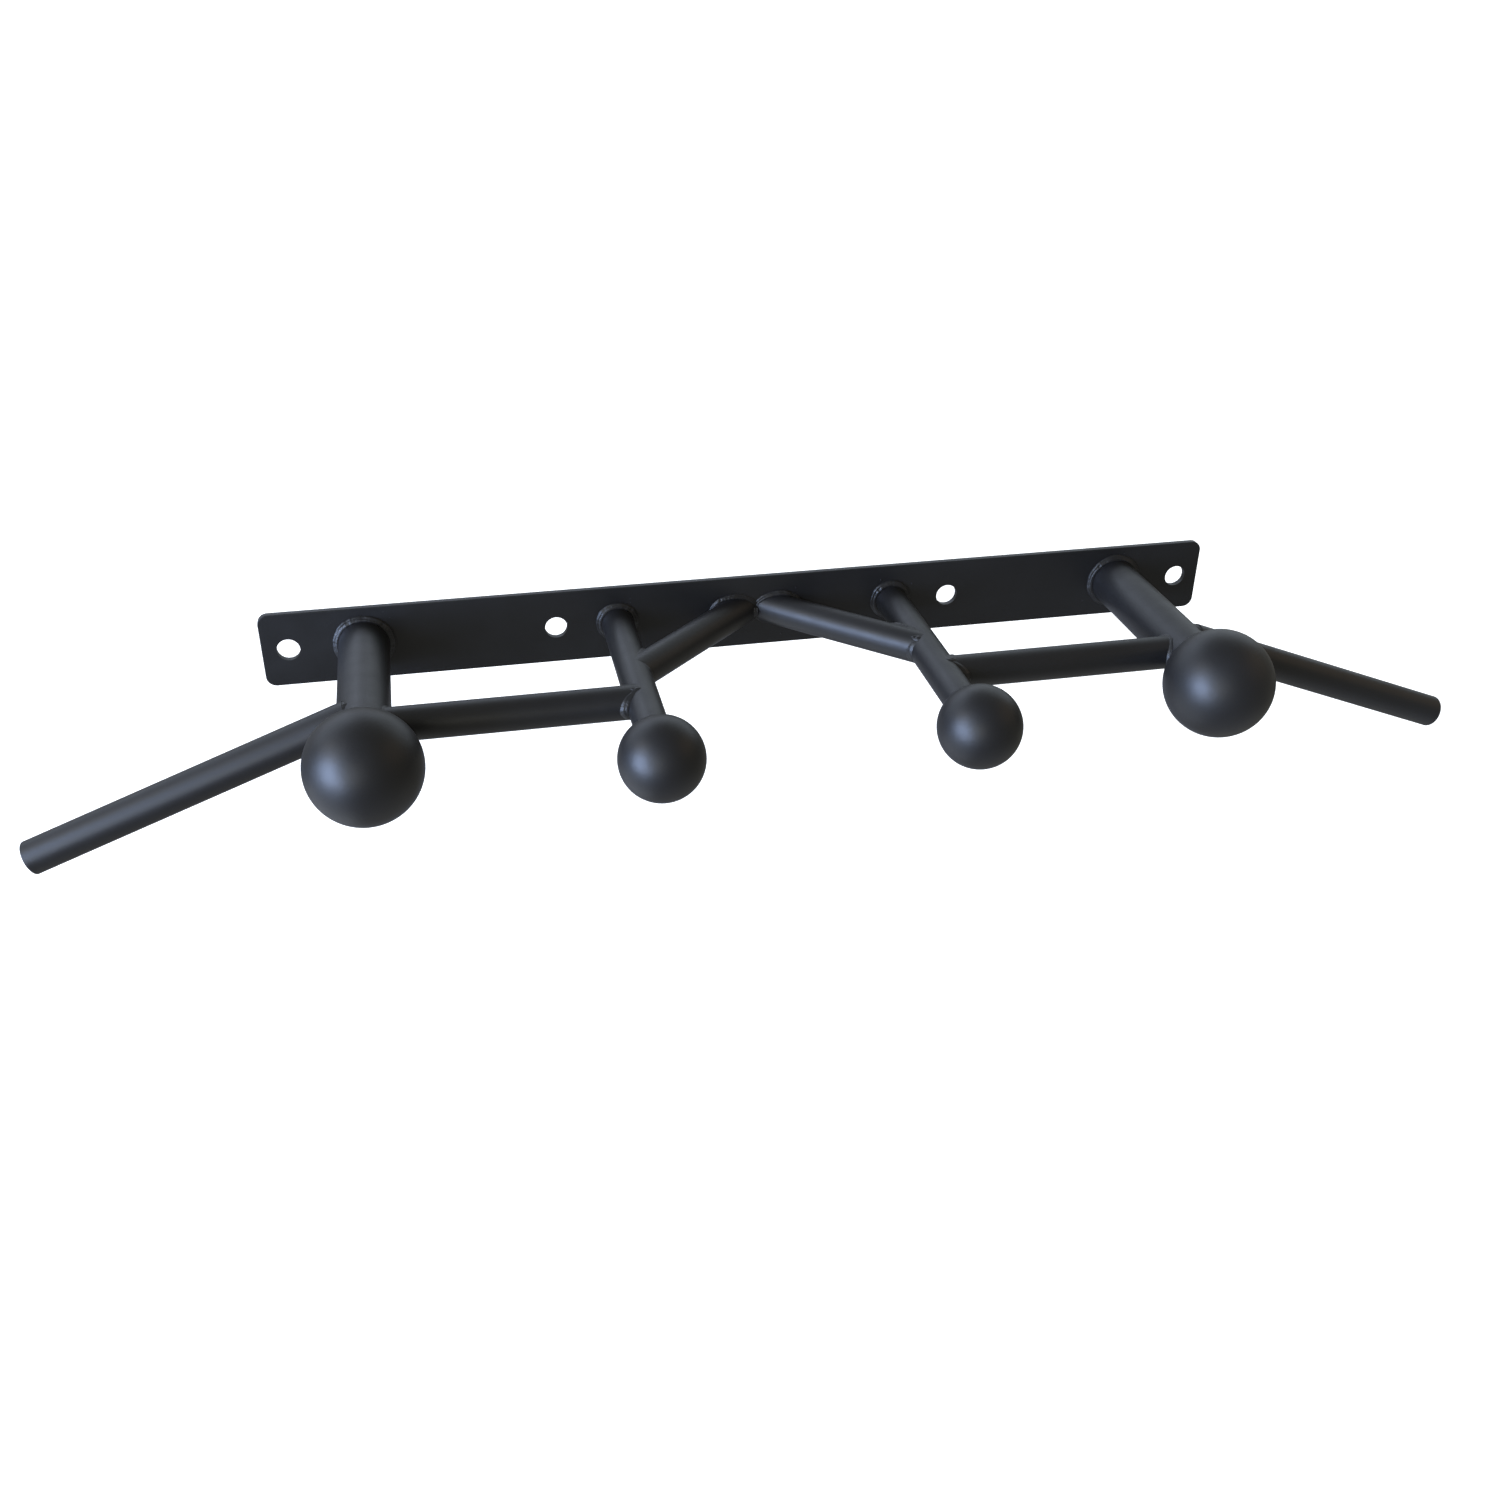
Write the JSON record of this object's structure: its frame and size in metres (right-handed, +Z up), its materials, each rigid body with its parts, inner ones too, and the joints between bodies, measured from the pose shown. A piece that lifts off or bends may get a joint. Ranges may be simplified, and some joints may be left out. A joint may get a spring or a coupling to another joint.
{
  "type": "wall-mounted pull-up bar",
  "caption": "Wall-mounted multi-grip pull-up bar: a flat wall plate carries round arms ending in grip balls, joined by straight welded grip bars, with sloping outer bars.",
  "frame": {"origin": "centre of the wall plate's back face, which lies on the wall", "axes": "+X along the wall plate, +Y out of the plate's back face into the wall, +Z up; the arms reach out along -Y"},
  "size_m": [1.3844, 0.3181, 0.1686],
  "materials": {
    "plate_coating": "satin black powder coat on flat steel bar",
    "tube_coating": "satin black powder coat on steel tube",
    "ball_coating": "satin black powder coat on hollow steel ball",
    "weld_coating": "satin black powder coat over rippled weld metal",
    "end_plug_plastic": "matt black moulded polyethylene"
  },
  "bodies": {
    "root": {"wall_plate": "plate_coating", "outer_arm_left": "tube_coating", "outer_arm_right": "tube_coating", "inner_arm_left": "tube_coating", "inner_arm_right": "tube_coating", "large_ball_left": "ball_coating", "large_ball_right": "ball_coating", "small_ball_left": "ball_coating", "small_ball_right": "ball_coating", "middle_grip_bar_left": "tube_coating", "middle_grip_bar_right": "tube_coating", "centre_grip_bar_left": "tube_coating", "centre_grip_bar_right": "tube_coating", "outer_grip_bar_left": "tube_coating", "outer_grip_bar_right": "tube_coating", "outer_end_plug_left": "end_plug_plastic", "outer_end_plug_right": "end_plug_plastic", "outer_arm_plate_weld_left": "weld_coating", "outer_arm_plate_weld_right": "weld_coating", "inner_arm_plate_weld_left": "weld_coating", "inner_arm_plate_weld_right": "weld_coating", "centre_bar_plate_weld_left": "weld_coating", "centre_bar_plate_weld_right": "weld_coating", "centre_bar_arm_weld_left": "weld_coating", "centre_bar_arm_weld_right": "weld_coating", "middle_bar_outer_weld_left": "weld_coating", "middle_bar_outer_weld_right": "weld_coating", "middle_bar_inner_weld_left": "weld_coating", "middle_bar_inner_weld_right": "weld_coating", "outer_bar_weld_left": "weld_coating", "outer_bar_weld_right": "weld_coating", "large_ball_weld_left": "weld_coating", "large_ball_weld_right": "weld_coating", "small_ball_weld_left": "weld_coating", "small_ball_weld_right": "weld_coating"}
  },
  "joints": []
}
